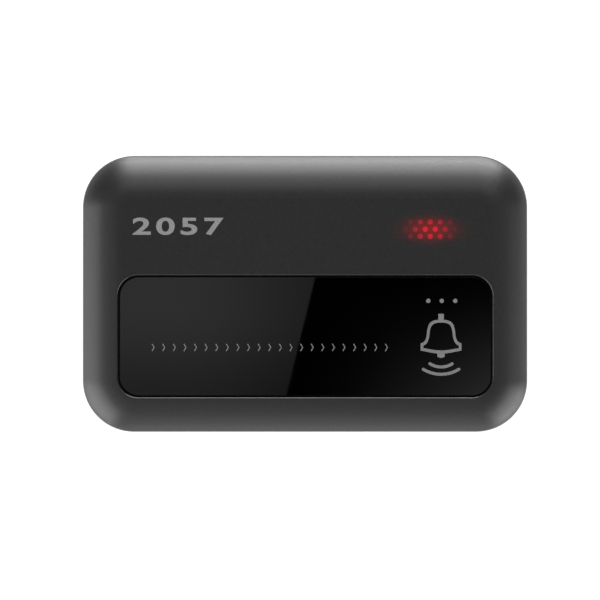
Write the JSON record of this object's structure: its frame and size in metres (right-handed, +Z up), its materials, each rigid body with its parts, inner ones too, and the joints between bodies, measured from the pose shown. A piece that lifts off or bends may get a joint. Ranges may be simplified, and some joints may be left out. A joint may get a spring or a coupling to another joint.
{
  "type": "waiter call button",
  "caption": "Slim table call button: a round-shouldered black housing with one wide glossy press key, a red dot light and a coin cell bay beneath.",
  "frame": {"origin": "on the table, under the middle of the device, at the underside of its feet", "axes": "+X along the length, to the right as the key is read; +Y across, towards the edge with the light; +Z up, out of the face with the key"},
  "size_m": [0.086, 0.0534, 0.015],
  "materials": {
    "cover_plastic": "satin black ABS with a fine moulded grain",
    "rear_plastic": "matt black ABS with a fine moulded grain",
    "carrier_plastic": "plain black ABS",
    "key_acrylic": "high gloss black acrylic with grey print on its back",
    "adhesive_foam": "thin acrylic foam tape",
    "light_guide_acrylic": "smoked red acrylic",
    "led_white": "white moulded package",
    "led_epoxy": "clear red epoxy",
    "switch_nylon": "black nylon",
    "plunger_nylon": "natural nylon",
    "switch_steel": "tinned sheet steel",
    "spring_steel": "nickel plated spring steel",
    "tinned_metal": "tinned copper",
    "board_laminate": "green solder mask on glass laminate",
    "chip_epoxy": "black moulding compound",
    "crystal_can": "nickel plated can",
    "capacitor_ceramic": "tan ceramic",
    "resistor_film": "black glazed chip",
    "cell_steel": "stainless steel",
    "screw_steel": "black zinc plated steel",
    "foot_rubber": "matt black rubber"
  },
  "bodies": {
    "root": {"front_cover": "cover_plastic", "indicator_light_guide": "light_guide_acrylic", "led_package": "led_white", "led_lens": "led_epoxy", "switch_base": "switch_nylon", "switch_dome": "spring_steel", "switch_cover": "switch_steel", "switch_terminals": "tinned_metal", "circuit_board": "board_laminate", "radio_chip": "chip_epoxy", "radio_chip_leads": "tinned_metal", "crystal": "crystal_can", "capacitors": "capacitor_ceramic", "resistors": "resistor_film", "antenna_loop": "tinned_metal", "coin_cell": "cell_steel", "battery_negative_contact": "spring_steel", "battery_positive_contact": "spring_steel", "rear_housing": "rear_plastic", "housing_screws": "screw_steel", "board_screws": "screw_steel", "rubber_feet": "foot_rubber"},
    "key": {"key_lens": "key_acrylic", "key_adhesive": "adhesive_foam", "key_carrier": "carrier_plastic"},
    "plunger": {"switch_plunger": "plunger_nylon"},
    "door": {"battery_door": "rear_plastic"}
  },
  "joints": [
    {"name": "call_key", "type": "hinge", "parent": "root", "child": "key", "pos_m": [-0.0345, -0.00822, 0.0106], "axis": [0, 1, 0], "range_deg": [0, 0.329], "stiffness_Nm_per_rad": 15, "springref_deg": -0.02},
    {"name": "switch_travel", "type": "slide", "parent": "root", "child": "plunger", "axis": [0, 0, -1], "range_m": [0, 0.00035], "deforming": ["switch_dome"]},
    {"name": "battery_door_slide", "type": "slide", "parent": "root", "child": "door", "axis": [0, -1, 0], "range_m": [0, 0.029]}
  ],
  "couplings": [
    {"joint": "switch_travel", "follows": "call_key", "m_per_rad": 0.0609}
  ]
}
